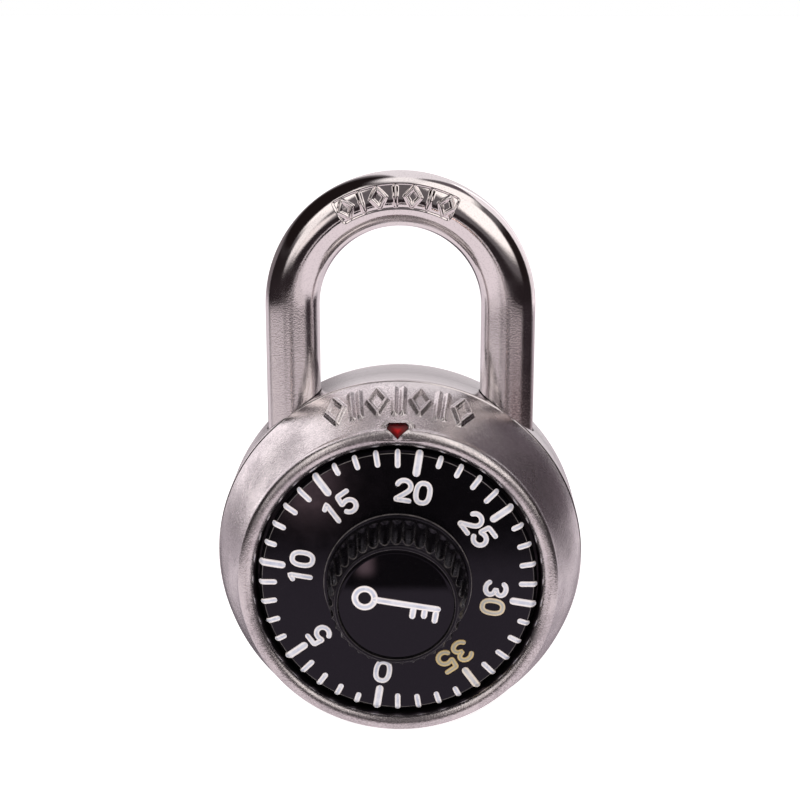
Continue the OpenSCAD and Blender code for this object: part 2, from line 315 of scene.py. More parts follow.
def case_material():
    """Satin stainless steel with a fine, speckled grain and darker patches."""
    mat, shader = material("satin_steel", (0.6, 0.57, 0.58), 1.0, 0.3)
    grain = noise(mat, 4600, 2, 0.6)
    patch = noise(mat, 130, 4, 0.6)
    speckle = ramp(mat, grain, [(0.38, 0.6), (0.60, 1.0)])
    cloud = ramp(mat, patch, [(0.38, (0.66, 0.62, 0.635)), (0.6, (0.84, 0.80, 0.805))])
    dotted = ramp(mat, patch, [(0.40, 0.8), (0.6, 0.2)])
    link(mat, mixed(mat, dotted, cloud, speckle, "MULTIPLY"), shader.inputs["Base Color"])
    link(mat, ramp(mat, patch, [(0.35, 0.30), (0.65, 0.2)]), shader.inputs["Roughness"])
    bumped(mat, shader, grain, 0.75, 0.00004)
    return mat


def wall_material():
    """The drawn side wall: smoother, with lines that run round the case, and painted shade that darkens it
    towards its middle.
    """
    mat, shader = material("drawn_steel", (0.6, 0.58, 0.585), 1.0, 0.26)
    lines = noise(mat, 900, 3, 0.6, stretch=(0.05, 6.0, 0.05))
    grain = noise(mat, 1800, 2)
    depth = place_parts(mat).outputs["Y"]
    back = node(mat, "ShaderNodeMapRange", {0: depth, 1: SHOULDER_Y * MM, 2: 0.0}).outputs[0]
    # painted shade: darker towards the middle of the wall and full at both ends, standing in for how its
    # reflection is shaded
    painted_light_and_wear = ramp(mat, back, [(0.0, 1.0), (0.12, 0.9), (0.45, 0.62), (0.8, 0.75), (0.95, 1.0)])
    drawn = ramp(mat, lines, [(0.3, (0.64, 0.61, 0.62)), (0.7, (0.84, 0.80, 0.81))])
    link(mat, mixed(mat, 1.0, drawn, painted_light_and_wear, "MULTIPLY"), shader.inputs["Base Color"])
    link(mat, ramp(mat, grain, [(0.3, 0.16), (0.7, 0.26)]), shader.inputs["Roughness"])
    bumped(mat, shader, lines, 0.08, 0.00003)
    return mat


def plain_steel(name, colour, roughness, grain_scale=3000):
    """Zinc-plated or stamped steel with a light grain."""
    mat, shader = material(name, colour, 1.0, roughness)
    grain = noise(mat, grain_scale, 3)
    dark = tuple(c * 0.8 for c in colour)
    link(mat, ramp(mat, grain, [(0.3, dark), (0.7, colour)]), shader.inputs["Base Color"])
    link(mat, ramp(mat, grain, [(0.25, roughness + 0.08), (0.75, roughness - 0.06)]),
         shader.inputs["Roughness"])
    bumped(mat, shader, grain, 0.2, 0.00003)
    return mat


def shackle_material():
    """Nickel-plated steel: bright on the bow, grainier down the legs, and painted dark outside the toe's
    leg as a dark reflection.
    """
    mat, shader = material("bright_nickel", (0.88, 0.84, 0.84), 1.0, 0.1)
    grain = noise(mat, 5200, 2, 0.6)
    wave = noise(mat, 420, 3)
    place = place_parts(mat)
    up = node(mat, "ShaderNodeMapRange", {0: place.outputs["Z"], 1: 0.02, 2: 0.042}).outputs[0]
    # painted reflection: the outside of the toe's leg, lower down, is painted dark brown for the dark
    # reflection it shows
    dark_reflection_mask = node(mat, "ShaderNodeMapRange", {0: place.outputs["X"], 1: 0.0125, 2: 0.0145}).outputs[0]
    dark_reflection_mask = maths(mat, "MULTIPLY", dark_reflection_mask, maths(mat, "SUBTRACT", 1.0, up))
    plating = ramp(mat, grain, [(0.3, (0.80, 0.755, 0.76)), (0.5, (0.90, 0.86, 0.86))])
    painted_dark_reflection = ramp(mat, grain, [(0.35, (0.28, 0.22, 0.22)), (0.65, (0.46, 0.40, 0.40))])
    link(mat, mixed(mat, dark_reflection_mask, plating, painted_dark_reflection), shader.inputs["Base Color"])
    on_legs = ramp(mat, wave, [(0.3, 0.13), (0.7, 0.2)])
    on_bow = ramp(mat, wave, [(0.35, 0.05), (0.7, 0.1)])
    link(mat, mixed(mat, up, on_legs, on_bow), shader.inputs["Roughness"])
    made = node(mat, "ShaderNodeBump", {"Height": grain, "Distance": 0.00003})
    link(mat, ramp(mat, up, [(0.0, 0.55), (1.0, 0.10)]), made.inputs["Strength"])
    link(mat, made.outputs["Normal"], shader.inputs["Normal"])
    return mat


BLACK = (0.0022, 0.0019, 0.0024)


def black_plastic(name, roughness, grain_scale, strength):
    """Moulded black plastic, with a faint ripple, fine dust, and edges greyed where the UV says, partly as
    wear and partly as painted highlight lines.
    """
    mat, shader = material(name, BLACK, 0.0, roughness, Specular_IOR_Level=0.3,
                           Specular_Tint=(0.84, 0.76, 1.0, 1))
    grain = noise(mat, grain_scale, 3)
    dust = noise(mat, 7000, 2, 0.7)
    dusty = ramp(mat, dust, [(0.69, BLACK), (0.8, (0.03, 0.027, 0.028))])
    # the UV marks edges greyed partly as wear and partly as painted highlight lines
    wear = place_parts(mat, "UV").outputs["X"]
    patchy = ramp(mat, noise(mat, 800, 2), [(0.3, 0.35), (0.65, 1.0)])
    painted_light_and_wear = maths(mat, "MULTIPLY", wear, patchy)
    link(mat, mixed(mat, painted_light_and_wear, dusty, (0.16, 0.145, 0.14)), shader.inputs["Base Color"])
    link(mat, ramp(mat, grain, [(0.3, roughness * 0.75), (0.7, roughness * 1.3)]),
         shader.inputs["Roughness"])
    bumped(mat, shader, grain, strength, 0.00002)
    return mat


def paint_material():
    """White filling paint, grey-blue along the middle of each stroke and darker at its very edges, yellowed
    at 35.
    """
    mat, shader = material("white_fill", (0.8, 0.78, 0.77), 0.0, 0.35)
    across = place_parts(mat, "UV")
    middle = ramp(mat, across.outputs["X"], [
        (0.0, (0.62, 0.55, 0.52)), (0.18, (0.84, 0.78, 0.76)), (0.36, (0.42, 0.44, 0.54)),
        (0.64, (0.42, 0.44, 0.54)), (0.82, (0.84, 0.78, 0.76)), (1.0, (0.62, 0.55, 0.52))])
    wear = noise(mat, 900, 3)
    white = mixed(mat, ramp(mat, wear, [(0.35, 0.35), (0.65, 1.0)]), (0.74, 0.72, 0.75), middle)
    yellow = ramp(mat, across.outputs["X"], [
        (0.0, (0.42, 0.30, 0.12)), (0.2, (0.62, 0.47, 0.22)), (0.4, (0.36, 0.33, 0.27)),
        (0.6, (0.36, 0.33, 0.27)), (0.8, (0.62, 0.47, 0.22)), (1.0, (0.42, 0.30, 0.12))])
    link(mat, mixed(mat, across.outputs["Y"], white, yellow), shader.inputs["Base Color"])
    bumped(mat, shader, wear, 0.2, 0.00002)
    return mat


def marker_material():
    """Clear red plastic, painted bright in the middle as light through it, and painted dark where it meets
    its pocket, as the pocket's shade.
    """
    mat, shader = material("marker_red", (0.4, 0.01, 0.01), 0.0, 0.15, Specular_IOR_Level=0.25)
    across = place_parts(mat, "UV")
    # painted light and shade: bright red in the middle as light through the plastic, near black at the edge
    # as the pocket's shade
    red = ramp(mat, across.outputs["X"], [
        (0.0, (0.004, 0.001, 0.001)), (0.25, (0.03, 0.002, 0.003)), (0.6, (0.16, 0.005, 0.006)),
        (1.0, (0.60, 0.02, 0.02))])
    grain = noise(mat, 2500, 3)
    link(mat, mixed(mat, ramp(mat, grain, [(0.3, 0.0), (0.7, 0.5)]), red, (0.16, 0.006, 0.008)),
         shader.inputs["Base Color"])
    bumped(mat, shader, grain, 0.25, 0.00004)
    return mat


def brass_material():
    """Stamped brass with a light grain."""
    mat, shader = material("stamped_brass", (0.72, 0.52, 0.24), 1.0, 0.32)
    grain = noise(mat, 2400, 3)
    link(mat, ramp(mat, grain, [(0.3, (0.60, 0.42, 0.18)), (0.7, (0.78, 0.58, 0.28))]),
         shader.inputs["Base Color"])
    link(mat, ramp(mat, grain, [(0.3, 0.4), (0.7, 0.26)]), shader.inputs["Roughness"])
    bumped(mat, shader, grain, 0.2, 0.00003)
    return mat


SATIN = case_material()
WALL = wall_material()
COVER = plain_steel("cover_steel", (0.60, 0.58, 0.585), 0.32)
ZINC = plain_steel("zinc_steel", (0.56, 0.56, 0.57), 0.36)
SPRING = plain_steel("spring_steel", (0.30, 0.30, 0.32), 0.3)
STAMPED = plain_steel("stamped_steel", (0.50, 0.50, 0.51), 0.34, 1800)
BRASS = brass_material()
NICKEL = shackle_material()
DIAL_BLACK = black_plastic("dial_black", 0.07, 700, 0.04)
KNOB_BLACK = black_plastic("knob_black", 0.3, 1500, 0.08)
CAP_BLACK = black_plastic("cap_black", 0.035, 500, 0.03)
# painted shade: dark steel for the collar's inner wall and the inside of the shell, where shade falls
SHADE_PAINTED_STEEL = plain_steel("painted_shade_steel", (0.10, 0.085, 0.10), 0.45)
WHITE = paint_material()
RED = marker_material()


def dress(obj, mat, body, stands_for=None):
    """Gives a piece its material, body and slot, and hides the CAD node that it stands for."""
    obj.data.materials.clear()
    obj.data.materials.append(mat)
    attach(obj, body)
    if stands_for:
        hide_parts(stands_for)
    return obj


# ------------------------ outer shell
SHELL_SHARP_DEG = 55
CONE_LOW = np.array(VALLEY)
CONE_HIGH = np.array([CASE_R - 0.16, SHOULDER_Y - 0.24])
CONE_LENGTH = np.linalg.norm(CONE_HIGH - CONE_LOW)
CONE_DIR = (CONE_HIGH - CONE_LOW) / CONE_LENGTH
CONE_OUT = np.array([CONE_DIR[1], -CONE_DIR[0]])
CONE_BULGE = 0.26
CONE_ROWS = 96
VALLEY_FILLET = 0.5

PATTERN_AT = 0.56       # the raised pattern's middle, as a fraction of the way up the cone
PATTERN_HALF = 2.45     # half its height along the cone
PATTERN_REACH = 8.1     # from the middle to the last motif's centre
PATTERN_RISE = 0.44
PATTERN_DEG = 27        # the shell's points are closer together within this angle of the top
MOTIF_W = 1.15          # half a lozenge's width
BAR_X = 0.52            # how far each bar of a pair is from their middle
RIDGE_W = 0.54          # half the width of a lozenge's or a bar's ridge

HOLE_PLAY = 0.15        # round each leg of the shackle
PAD_HALF = 2.05         # half the width of the index boss's pad


def cone_row(s):
    """A point on the cone's outline, with s from the collar to the shoulder."""
    along = CONE_LOW + (CONE_HIGH - CONE_LOW) * s
    return along + CONE_OUT * CONE_BULGE * math.sin(math.pi * s ** 1.7)


def valley_arc():
    """The hollow curve that runs from the cone into the bead."""
    bead = np.array(BEAD)
    start = CONE_LOW + CONE_OUT * VALLEY_FILLET - bead
    b = start @ CONE_DIR
    t = -b + math.sqrt(b * b - start @ start + (BEAD_R + VALLEY_FILLET) ** 2)
    centre = bead + start + CONE_DIR * t
    on_bead = math.degrees(math.atan2(*(centre - bead)[::-1]))
    on_cone = math.degrees(math.atan2(*-CONE_OUT[::-1]))
    return t / CONE_LENGTH, on_bead, arc(centre, VALLEY_FILLET, on_cone, on_bead + 180, 8)


def shell_outline():
    """The shell's section as (radius, y), with how far up the cone each point is: -1 off it, -2 inside."""
    rows = line((CASE_R - 2.2, -SHEET), (CASE_R - 2.2, -0.3), 2)
    rows += arc((CASE_R - 1.9, -0.3), 0.3, 180, 90, 4)
    rows += arc((CASE_R - 0.9, -0.9), 0.9, 90, 0, 10)
    rows += line((CASE_R, -1.2), (CASE_R, SHOULDER_Y + 0.35), 8)
    rows += arc((CASE_R - 0.3, SHOULDER_Y + 0.3), 0.3, 0, -50, 5)
    rows += [(CASE_R - 0.17, SHOULDER_Y + 0.0), (CASE_R - 0.26, SHOULDER_Y - 0.06),
             (CASE_R - 0.25, SHOULDER_Y - 0.14)]
    marks = [-1.0] * len(rows)
    low, on_bead, fillet = valley_arc()
    for i in range(CONE_ROWS, 0, -1):
        up = low + (1 - low) * i / CONE_ROWS
        rows.append(tuple(cone_row(up)))
        marks.append(up)
    rows += fillet + arc(BEAD, BEAD_R, on_bead, -180, 44)[1:]
    inner = line((BEAD[0] - BEAD_R, BEAD[1] + 0.05), (BEAD[0] - BEAD_R, FLOOR_Y - 0.3), 4)
    inner += arc((BEAD[0] - BEAD_R - 0.3, FLOOR_Y - 0.3), 0.3, 0, 90, 4)
    inner += [(3.6, FLOOR_Y), (3.6, FLOOR_Y + SHEET), (BEAD[0] - BEAD_R + SHEET, FLOOR_Y + SHEET),
              (BEAD[0] - BEAD_R + SHEET, VALLEY[1] + 0.3), (VALLEY[0] - 0.6, VALLEY[1] + 0.3),
              (CASE_R - SHEET, SHOULDER_Y), (CASE_R - SHEET, -SHEET)]
    rows += inner
    marks += [-1.0] * (len(rows) - len(marks) - len(inner)) + [-2.0] * len(inner)
    return rows, np.array(marks)


def pattern_height(across, along):
    """The raised pattern: lozenges with pairs of bars between them, in millimetres from its middle."""
    height = np.zeros_like(across)
    h, w = PATTERN_HALF, MOTIF_W
    pitch = PATTERN_REACH / 3
    for i in range(-3, 4):
        x = across - i * pitch
        if i % 2:
            motif = [[(-w, 0), (0, h), (w, 0), (0, -h), (-w, 0)]]
        else:
            motif = [[(-BAR_X, -h), (-BAR_X, h)], [(BAR_X, -h), (BAR_X, h)]]
        for points in motif:
            height = np.maximum(height, ridge(polyline_distance(x, along, points), RIDGE_W))
    return height


def past_corner(x, y, corner):
    """How far points are outside a rounded corner, from how far they are past each of its sides."""
    qx, qy = x + corner, y + corner
    return np.hypot(np.maximum(qx, 0), np.maximum(qy, 0)) + np.minimum(np.maximum(qx, qy), 0) - corner


def boss_place(u, v, w):
    """A point over the boss's face: u across, v up the face, w out of it."""
    y, z = BOSS_FOOT + BOSS_ALONG * v + BOSS_OUT * w
    return (u, y, z)


def boss_coordinates(grid):
    """How far points are up the boss's face and out of it."""
    dy, dz = grid[..., 1] - BOSS_FOOT[0], grid[..., 2] - BOSS_FOOT[1]
    return dy * BOSS_ALONG[0] + dz * BOSS_ALONG[1], dy * BOSS_OUT[0] + dz * BOSS_OUT[1]


def make_shell():
    """The case's outer shell, with its raised pattern, index boss, leg holes and pocket."""
    rows, marks = shell_outline()
    fine = np.radians(np.arange(-PATTERN_DEG, PATTERN_DEG, 0.2))
    coarse = np.radians(np.arange(PATTERN_DEG, 360 - PATTERN_DEG, 1.5))
    angles = np.concatenate([fine, coarse])
    grid = turned_points(rows, angles)
    a = angles[:, None]
    near_top = np.where(a > math.pi, a - 2 * math.pi, a)
    # the pattern stands out along the cone's normal
    across = near_top * (VALLEY[0] + CASE_R) / 2
    along = (np.maximum(marks, 0) - PATTERN_AT) * CONE_LENGTH
    height = PATTERN_RISE * pattern_height(*np.broadcast_arrays(across, along)) * (marks >= 0)
    grid[..., 0] += height * CONE_OUT[0] * np.sin(a)
    grid[..., 1] += height * CONE_OUT[1]
    grid[..., 2] += height * CONE_OUT[0] * np.cos(a)
    # the index boss is a flat pad with rounded corners, that flares where it meets the collar
    x, along, out = grid[..., 0], *boss_coordinates(grid)
    flare = 1.2 * np.exp(-np.maximum(along, 0) / 0.45)
    outside = past_corner(np.abs(x) - PAD_HALF - flare, along - BOSS_HEIGHT, BOSS_CORNER)
    weight = (1 - smooth_step(-0.14, 0.14, outside)) * smooth_step(-0.3, 0.1, along)
    near_boss = (np.abs(near_top) < 0.3) & (marks > -2)[None, :]
    lip = 0.12 * ridge(polyline_distance(x, along, POCKET + POCKET[:1]), 0.3) * (along > -0.4)
    lift = (weight * np.maximum(-out, 0) + lip * (out > -1)) * near_boss
    grid[..., 1] += lift * BOSS_OUT[0]
    grid[..., 2] += lift * BOSS_OUT[1]
    faces = grid_faces(len(angles), len(rows), True, True)
    shell = add_mesh("outer_shell_skin", grid.reshape(-1, 3), faces, SHELL_SHARP_DEG)
    for side in (-1, 1):
        cut(shell, rod_tool("hole", side * LEG_X, ROD_Y, ROD_R + HOLE_PLAY, 6, 40), SHELL_SHARP_DEG)
    cut(shell, prism("pocket", POCKET, boss_place, -0.5, 0.8), SHELL_SHARP_DEG)
    return shell


def split_finish(shell):
    """The straight wall is drawn, the cone and collar are satin, and the inside is painted dark as shade.
    """
    shell.data.materials.append(WALL)
    shell.data.materials.append(SHADE_PAINTED_STEEL)
    centres = np.empty(len(shell.data.polygons) * 3)
    shell.data.polygons.foreach_get("center", centres)
    x, y, z = centres.reshape(-1, 3).T / MM
    r = np.hypot(x, z)
    finish_and_shade = np.where(y > SHOULDER_Y + 0.02, 1, 0)
    # painted shade on the collar's inner wall and the inside
    finish_and_shade = np.where((r < BEAD[0] - BEAD_R + 0.12) & (y < -1), 2, finish_and_shade)
    shell.data.polygons.foreach_set("material_index", finish_and_shade.astype(np.int32))


shell = dress(make_shell(), SATIN, "case", "outer_shell")
split_finish(shell)


MARKER_FIT = 0.95               # the marker's size, as a fraction of its pocket's
MARKER_EDGE, MARKER_DOME, MARKER_BACK = -0.26, 0.14, -0.48      # out of the boss's face


def make_marker():
    """The red marker: a shallow dome that fills the pocket's outline."""
    centre = np.array([0, 1.4])
    outline = centre + (np.array(POCKET) - centre) * MARKER_FIT
    fine = []
    for a, b in zip(outline, np.roll(outline, -1, axis=0)):
        fine += line(a, b, 6)
    fine = np.array(fine)
    verts, uvs = [], []
    rings = 8
    for k in range(rings):
        t = k / rings
        ring = fine + (centre - fine) * t
        height = MARKER_EDGE + MARKER_DOME * math.sin(t * math.pi / 2)
        verts += [boss_place(u, v, height) for u, v in ring]
        # the UV runs from 0 at the edge to 1 in the middle, for the marker's painted shade and light
        uvs += [(t, 0)] * len(ring)
    verts.append(boss_place(*centre, MARKER_EDGE + MARKER_DOME))
    uvs.append((1, 0))
    n = len(fine)
    faces = [list(f) for f in grid_faces(rings, n, False, True)]
    faces += [[(rings - 1) * n + i, (rings - 1) * n + (i + 1) % n, rings * n] for i in range(n)]
    base = len(verts)
    verts += [boss_place(u, v, MARKER_BACK) for u, v in fine]
    uvs += [(0, 0)] * n
    faces += [[i, (i + 1) % n, base + (i + 1) % n, base + i] for i in range(n)]
    faces.append([base + i for i in range(n)])
    return add_mesh("index_marker_gem", verts, faces, 50, uvs)


dress(make_marker(), RED, "case", "index_marker")


def make_cover():
    """The back cover: a raised disc with a turned groove, and the staked end of the post."""
    front, seat = -1.9, -0.9
    rows = [(0, front), (CASE_R - 0.9, front), (CASE_R - 0.9, seat)]
    rows += line((CASE_R - 1.5, seat), (17.95, seat), 6)
    rows += arc((17.95, seat + 0.25), 0.25, 270, 200, 4)
    rows += arc((17.35, -0.3), 0.3, 10, 90, 6)
    rows += line((17.3, 0), (13.2, 0), 6)
    rows += arc((12.9, 0), 0.3, 0, -180, 8)
    rows += line((12.5, 0), (3.1, 0), 8)
    rows += arc((2.75, 0), 0.3, 0, -180, 8)
    rows += arc((0, -1.0), (2.4, 0.9), 20, 90, 6)
    return turned("back_cover_plate", rows)


dress(make_cover(), COVER, "case", "back_cover")


# ------------------------ dial and its numbers
def dial_height(radius):
    """The y of the dial's face, which falls away over its bevel."""
    return FACE_Y + np.clip(np.asarray(radius) - FLAT_R, 0, DIAL_BEVEL)


def make_dial():
    """The dial's plate, with a bevelled rim whose edges are greyed, partly as wear and partly as painted
    highlight lines.
    """
    rows = [(0, FACE_Y)] + line((0.5, FACE_Y), (FLAT_R - 0.16, FACE_Y), 12)
    rows += [(FLAT_R - 0.16, FACE_Y), (FLAT_R - 0.1, FACE_Y)]
    rows += arc((FLAT_R - 0.08, FACE_Y + 0.19), 0.19, 270, 315, 6)
    rows += [(DIAL_R - 0.06, FACE_Y + DIAL_BEVEL - 0.06), (DIAL_R, FACE_Y + DIAL_BEVEL + 0.06)]
    rows += [(DIAL_R, DIAL_BACK_Y - 0.1), (DIAL_R - 0.1, DIAL_BACK_Y), (0, DIAL_BACK_Y)]
    # the edges are greyed partly as wear and partly as painted highlight lines
    worn = [(FLAT_R - 0.02, FACE_Y + 0.01, 0.8), (DIAL_R - 0.03, FACE_Y + DIAL_BEVEL, 0.25)]
    return turned("dial_face", rows, 320, 25, worn)


dress(make_dial(), DIAL_BLACK, "dial", "dial_plate")

DIGIT_W, DIGIT_H, STROKE = 2.4, 3.3, 0.7
DIGIT_PITCH = 2.44
DIGIT_AT = 12.35                    # the numbers' middle, from the dial's axis
A, B = (DIGIT_W - STROKE) / 2, (DIGIT_H - STROKE) / 2       # half a digit's middle line


def rounded(points, radius, steps=5):
    """An open polyline with its corners rounded."""
    out = [points[0]]
    for before, at, after in zip(points, points[1:], points[2:]):
        before, at, after = map(np.array, (before, at, after))
        p = at + (before - at) / np.linalg.norm(before - at) * radius
        q = at + (after - at) / np.linalg.norm(after - at) * radius
        for i in range(steps + 1):
            t = i / steps
            out.append(tuple((1 - t) ** 2 * p + 2 * t * (1 - t) * at + t * t * q))
    return out + [points[-1]]


def digit_zero():
    """The zero's middle line, between an ellipse and a box."""
    t = np.linspace(0, 2 * math.pi, 40, endpoint=False)
    c, s = np.cos(t), np.sin(t)
    power = 2 / 2.5
    return list(zip(A * np.sign(c) * np.abs(c) ** power, B * np.sign(s) * np.abs(s) ** power))


DIGITS = {
    "0": digit_zero(),
    "1": [(-0.42, B - 0.42), (0.12, B), (0.12, -B)],
    "2": arc((0, B - 0.78), (A, 0.78), 165, -28, 14)
         + rounded([(A * 0.6, -0.15), (-A, -B), (A, -B)], 0.2),
    "3": arc((-0.04, B - 0.6), (A * 0.95, 0.6), 155, -82, 12)
         + arc((-0.04, 0.64 - B), (A, 0.64), 82, -155, 12),
    "5": rounded([(A * 0.92, B), (-A * 0.72, B), (-A * 0.86, 0.1), (-0.4, 0.24)], 0.18)
         + arc((-0.04, 0.8 - B), (A, 0.8), 105, -150, 16),
}


def ribbon(path, half_width, closed, profile):
    """A raised stroke along a path: points (u, v, height), faces, and where each lies across it."""
    path = np.array(path, float)
    if closed:
        tangent = np.roll(path, -1, 0) - np.roll(path, 1, 0)
    else:
        tangent = np.gradient(path, axis=0)
    tangent /= np.linalg.norm(tangent, axis=1)[:, None]
    rings = [(p, t, 1.0) for p, t in zip(path, tangent)]
    if not closed:
        turns = np.radians([72, 48, 24])
        start, end = tangent[0], tangent[-1]
        first = [(path[0] - start * half_width * math.sin(a), start, math.cos(a)) for a in turns]
        last = [(path[-1] + end * half_width * math.sin(a), end, math.cos(a)) for a in turns[::-1]]
        rings = first + rings + last
    verts, across = [], []
    for centre, t, scale in rings:
        side = np.array([-t[1], t[0]])
        for where, height in profile:
            u, v = centre + side * where * half_width * scale
            verts.append((u, v, height))
            across.append((where + 1) / 2)
    cols = len(profile)
    faces = [list(f) for f in grid_faces(len(rings), cols, closed, True)]
    if not closed:
        faces += [list(range(cols)), list(range((len(rings) - 1) * cols, len(rings) * cols))]
    return verts, faces, across


FILL = [(-1, -0.06), (-0.98, 0.015), (-0.8, 0.06), (-0.45, 0.05), (0, 0.035),
        (0.45, 0.05), (0.8, 0.06), (0.98, 0.015), (1, -0.06)]


def dense(path, spacing=0.12):
    """The same path with its long stretches divided."""
    out = []
    for a, b in zip(path, path[1:]):
        steps = max(1, int(math.dist(a, b) / spacing))
        out += line(a, b, steps)
    return out + [path[-1]]


class Strokes:
    """Collects strokes into one mesh on the dial's face."""

    def __init__(self):
        self.verts, self.faces, self.uvs = [], [], []

    def add(self, path, half_width, closed, turn_deg, origin, yellow=0.0):
        """Adds a stroke whose own up points outwards at an angle clockwise from the top."""
        verts, faces, across = ribbon(path, half_width, closed, FILL)
        a = math.radians(turn_deg)
        up, right = np.array([math.sin(a), math.cos(a)]), np.array([math.cos(a), -math.sin(a)])
        base = len(self.verts)
        for (u, v, height), t in zip(verts, across):
            x, z = right * (u + origin[0]) + up * (v + origin[1])
            self.verts.append((x, float(dial_height(math.hypot(x, z))) - height, z))
            self.uvs.append((t, yellow))
        self.faces += [[base + i for i in f] for f in faces]


def tick_length(k):
    """Ticks grow from one multiple of five to the next, and the multiples are longest."""
    return [3.05, 1.4, 1.63, 1.87, 2.1][k % 5]


def make_markings():
    """The dial's ticks and numbers."""
    strokes = Strokes()
    outer = FLAT_R + 0.18
    for k in range(STEPS):
        half = 0.5 if k % 5 == 0 else 0.37
        path = dense([(0, outer - tick_length(k) + half), (0, outer - 0.1)], 0.2)
        strokes.add(path, half, False, (k - INDEX_AT) * STEP_DEG, (0, 0), 0.35 if k == 35 else 0.0)
    for value in range(0, STEPS, 5):
        text = str(value)
        for i, digit in enumerate(text):
            shift = (i - (len(text) - 1) / 2) * DIGIT_PITCH
            turn = (value - INDEX_AT) * STEP_DEG
            path = DIGITS[digit] if digit == "0" else dense(DIGITS[digit])
            worn = 1.0 if value == 35 else 0.7 if (value, i) == (30, 1) else 0.0
            strokes.add(path, STROKE / 2, digit == "0", turn, (shift, DIGIT_AT), worn)
    return add_mesh("dial_numbers", strokes.verts, strokes.faces, 60, strokes.uvs)


dress(make_markings(), WHITE, "dial")


# ------------------------ knob
FLUTES = 36
FLUTE_R = 0.74
FLUTE_EDGE = 0.12
CREST_R, CREST_Y = 8.3, KNOB_Y + 0.95
RIM_R, CAP_R = 7.5, 7.2


def make_knob():
    """The knob's skirt: flutes cut by a round tool that lifts out near the foot."""
    foot = KNOB_R - 0.45
    rows = [(KNOB_R - 0.02, FACE_Y + 0.05), (KNOB_R, FACE_Y - 0.2)]
    rows += arc((KNOB_R - 0.15, FACE_Y - 0.24), 0.15, 0, -90, 4)
    rows += [(foot + 0.1, FACE_Y - 0.42)]
    rows += line((foot, FACE_Y - 0.52), (CREST_R, CREST_Y), 52)
    chamfer = line((CREST_R, CREST_Y), (RIM_R + 0.06, KNOB_Y + 0.06), 30)
    for i, (r, y) in enumerate(chamfer):
        t = i / 30
        groove = sum(ridge(abs(t - c), 0.07) for c in (0.52, 0.78))
        chamfer[i] = (r - 0.05 * groove, y + 0.05 * groove)
    rows += chamfer
    rows += arc((RIM_R - 0.02, KNOB_Y + 0.1), 0.1, -45, -90, 3)
    rows += arc((CAP_R + 0.1, KNOB_Y + 0.1), 0.1, -90, -180, 4)
    rows += [(CAP_R, KNOB_Y + 0.6)]
    steps = FLUTES * 16
    angles = np.linspace(0, 2 * math.pi, steps, endpoint=False)
    r, y = np.array(rows).T
    pitch = 2 * math.pi / FLUTES
    offset = (angles + pitch / 2) % pitch - pitch / 2
    # the tool's axis leans with the skirt, and leaves it near the foot
    axis = CREST_R + 0.32 + (foot - CREST_R) * (y - CREST_Y) / (FACE_Y - 0.52 - CREST_Y)
    axis = axis + 1.1 * smooth_step(FACE_Y - 1.5, FACE_Y - 0.75, y)
    across = axis[None, :] * np.sin(offset)[:, None]
    inside = FLUTE_R ** 2 - across ** 2
    floor = axis[None, :] * np.cos(offset)[:, None] - np.sqrt(np.maximum(inside, 0))
    cut_r = np.where((inside > 0) & (y[None, :] < FACE_Y - 0.5), floor, 99)
    meet = np.clip(1 - np.abs(r[None, :] - cut_r) / FLUTE_EDGE, 0, 1)
    radius = np.minimum(r[None, :], cut_r) - meet ** 2 * FLUTE_EDGE / 4
    a = angles[:, None]
    grid = np.stack([radius * np.sin(a), y[None, :] + 0 * a, radius * np.cos(a)], -1)
    verts = list(grid.reshape(-1, 3))
    # the flange, rim and cap edges and the flute edges are greyed partly as wear and partly as painted
    # highlight lines, the flute edges most towards the front
    worn = [(KNOB_R - 0.05, FACE_Y - 0.34, 0.75), (RIM_R + 0.05, KNOB_Y + 0.06, 0.12),
            (CAP_R + 0.03, KNOB_Y + 0.03, 0.35)]
    rims = np.array([edge_wear(*row, worn) for row in rows])
    front = smooth_step(CREST_Y + 0.8, CREST_Y, y)[None, :]
    painted_light_and_wear = np.maximum(rims[None, :], meet ** 2 * (0.12 + 0.8 * front))
    faces = [list(f) for f in grid_faces(steps, len(rows), True)]
    for column, height in ((0, rows[0][1]), (len(rows) - 1, rows[-1][1])):
        verts.append((0, height, 0))
        centre = len(verts) - 1
        rim = [i * len(rows) + column for i in range(steps)]
        faces += [[centre, a, b] for a, b in zip(rim, rim[1:] + rim[:1])]
    uvs = [(wear, 0) for wear in painted_light_and_wear.ravel()] + [(0, 0)] * 2
    return add_mesh("knob_skirt", verts, faces, 42, uvs)


dress(make_knob(), KNOB_BLACK, "dial", "knob")

CAP_Y = KNOB_Y + 0.15
CAP_DOME = 200          # the face is part of a very large ball


def cap_height(radius):
    """The y of the cap's faintly domed face."""
    return CAP_Y + np.asarray(radius) ** 2 / (2 * CAP_DOME)


def make_cap():
    """The knob's glossy face."""
    rows = [(r, float(cap_height(r))) for r in np.linspace(0, CAP_R - 0.1, 16)]
    rows += arc((CAP_R - 0.1, float(cap_height(CAP_R)) + 0.08), 0.08, 275, 360, 4)
    rows += [(CAP_R - 0.03, KNOB_Y + 0.6), (0, KNOB_Y + 0.6)]
    # the face's rim is greyed partly as wear and partly as a painted highlight line
    return turned("knob_face", rows, 200, 50, [(CAP_R - 0.03, CAP_Y + 0.17, 0.25)])


dress(make_cap(), CAP_BLACK, "dial", "knob_cap")


